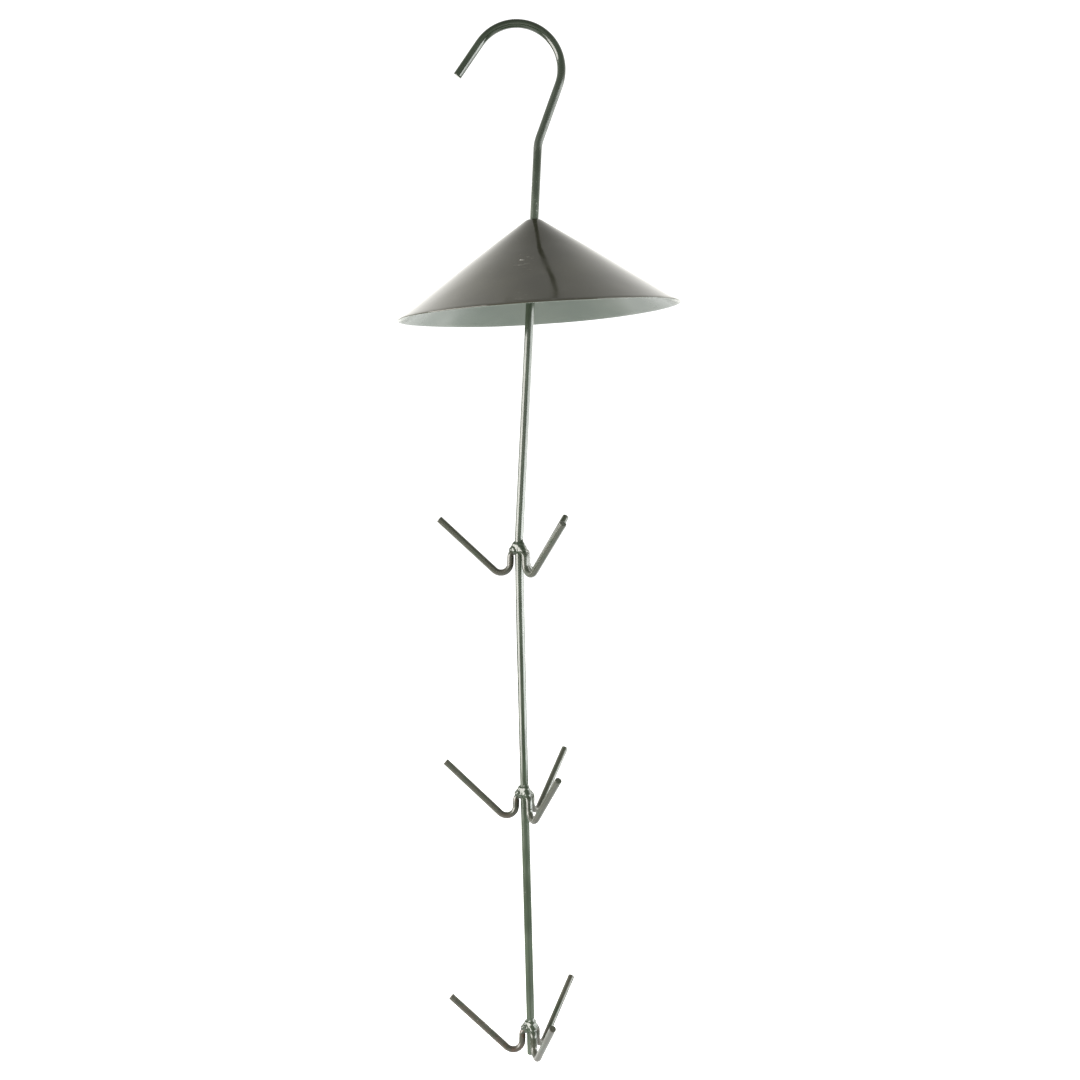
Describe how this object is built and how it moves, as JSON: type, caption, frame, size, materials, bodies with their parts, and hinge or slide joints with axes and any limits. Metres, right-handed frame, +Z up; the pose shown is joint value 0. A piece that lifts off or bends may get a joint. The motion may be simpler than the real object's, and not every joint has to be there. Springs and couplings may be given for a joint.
{
  "type": "hanging wire bird feeder",
  "caption": "Hanging bird feeder: a hooked wire rod with a loose cone roof above tiers of bent wire prongs that hold fat balls or fruit.",
  "frame": {"origin": "the hanging point, on the inner surface of the hook at the top of its crown", "axes": "+Z up along the hanging direction; the hook lies in the XZ plane and opens towards -X; +Y is away from the viewer"},
  "size_m": [0.1629, 0.1632, 0.6037],
  "materials": {
    "wire_paint": "gloss dark green paint",
    "roof_paint": "gloss olive-green paint",
    "zinc": "dull zinc plate"
  },
  "bodies": {
    "frame": {"hook_rod": "wire_paint", "roof_stop": "wire_paint", "tier_1_prong_left": "wire_paint", "tier_1_weld_left": "wire_paint", "tier_1_prong_front": "wire_paint", "tier_1_weld_front": "wire_paint", "tier_1_prong_back": "wire_paint", "tier_1_weld_back": "wire_paint", "tier_2_prong_left": "wire_paint", "tier_2_weld_left": "wire_paint", "tier_2_prong_front": "wire_paint", "tier_2_weld_front": "wire_paint", "tier_2_prong_back": "wire_paint", "tier_2_weld_back": "wire_paint", "tier_3_prong_left": "wire_paint", "tier_3_weld_left": "wire_paint", "tier_3_prong_front": "wire_paint", "tier_3_weld_front": "wire_paint", "tier_3_prong_back": "wire_paint", "tier_3_weld_back": "wire_paint"},
    "washer": {"roof_washer": "zinc"},
    "roof": {"roof": "roof_paint"}
  },
  "joints": [
    {"name": "roof_lift", "type": "slide", "parent": "frame", "child": "washer", "axis": [0.0487, 0, 0.9988], "range_m": [0, 0.038]},
    {"name": "roof_spin", "type": "hinge", "parent": "washer", "child": "roof", "pos_m": [0.00935, 0, -0.1044], "axis": [-0.0628, 0, 0.998], "continuous": true}
  ]
}
